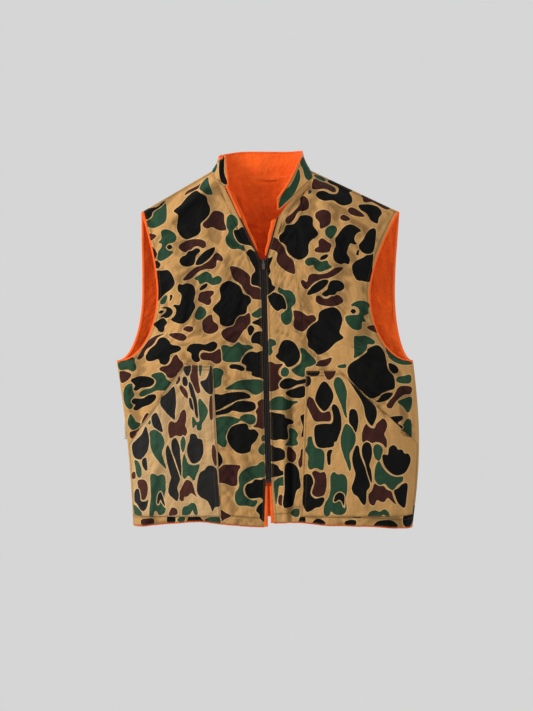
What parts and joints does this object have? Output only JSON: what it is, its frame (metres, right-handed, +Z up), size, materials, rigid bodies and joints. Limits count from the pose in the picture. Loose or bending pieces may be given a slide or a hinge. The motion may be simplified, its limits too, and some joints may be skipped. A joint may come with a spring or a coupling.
{
  "type": "hunting vest",
  "caption": "Sleeveless reversible vest hung up: printed shell, blaze orange lining, stand collar, two-part zipper and slanted patch pockets.",
  "frame": {"origin": "point between the neck ends of the two shoulder seams, where a hanger's neck comes up through the collar", "axes": "+Z up, the front with its zipper faces -Y, the wearer's right side at -X"},
  "size_m": [0.5855, 0.0982, 0.7286],
  "materials": {
    "print_shell": "cotton twill printed with dark lobed patches",
    "print_pocket": "the same print, a little faded",
    "orange_lining": "smooth cotton, blaze orange",
    "zipper_tape": "herringbone woven tape",
    "zipper_plastic": "moulded",
    "slider_metal": "worn black enamel",
    "pull_metal": "nickel plated, worn",
    "label": "satin ribbon, blank"
  },
  "bodies": {
    "body": {"back_shell": "print_shell", "back_lining": "orange_lining", "right_side_shell": "print_shell", "right_side_lining": "orange_lining", "left_side_shell": "print_shell", "left_side_lining": "orange_lining", "collar_back_shell": "print_shell", "collar_back_lining": "orange_lining", "right_pocket_side": "print_pocket", "left_pocket_side": "print_pocket", "side_label": "label"},
    "right_front": {"right_front_shell": "print_shell", "right_front_lining": "orange_lining", "right_front_facing": "orange_lining", "right_collar_shell": "print_shell", "right_collar_lining": "orange_lining", "right_pocket": "print_pocket", "right_zipper_tape": "zipper_tape", "right_zipper_teeth": "zipper_plastic", "right_top_stop": "zipper_plastic", "retainer_box": "zipper_plastic", "retainer_pin": "zipper_plastic"},
    "left_front": {"left_front_shell": "print_shell", "left_front_lining": "orange_lining", "left_front_facing": "orange_lining", "left_collar_shell": "print_shell", "left_collar_lining": "orange_lining", "left_pocket": "print_pocket", "left_zipper_tape": "zipper_tape", "left_zipper_teeth": "zipper_plastic", "left_top_stop": "zipper_plastic", "insertion_pin": "zipper_plastic"},
    "slider": {"slider_body": "slider_metal", "slider_bail": "pull_metal"},
    "pull": {"zipper_pull": "pull_metal"}
  },
  "joints": [
    {"name": "right_front_fold", "type": "hinge", "parent": "body", "child": "right_front", "pos_m": [-0.096, -0.05, -0.028], "axis": [-0.1913, 0, -0.9815], "range_deg": [0, 110]},
    {"name": "left_front_fold", "type": "hinge", "parent": "body", "child": "left_front", "pos_m": [0.084, -0.05, -0.028], "axis": [-0.2083, 0, 0.9781], "range_deg": [0, 110]},
    {"name": "slider_slide", "type": "slide", "parent": "right_front", "child": "slider", "axis": [0.0241, 0, -0.9997], "range_m": [0, 0.402]},
    {"name": "pull_hinge", "type": "hinge", "parent": "slider", "child": "pull", "pos_m": [-0.00607, -0.0466, -0.183], "axis": [-0.9997, 0, -0.0241], "range_deg": [0, 170]}
  ]
}
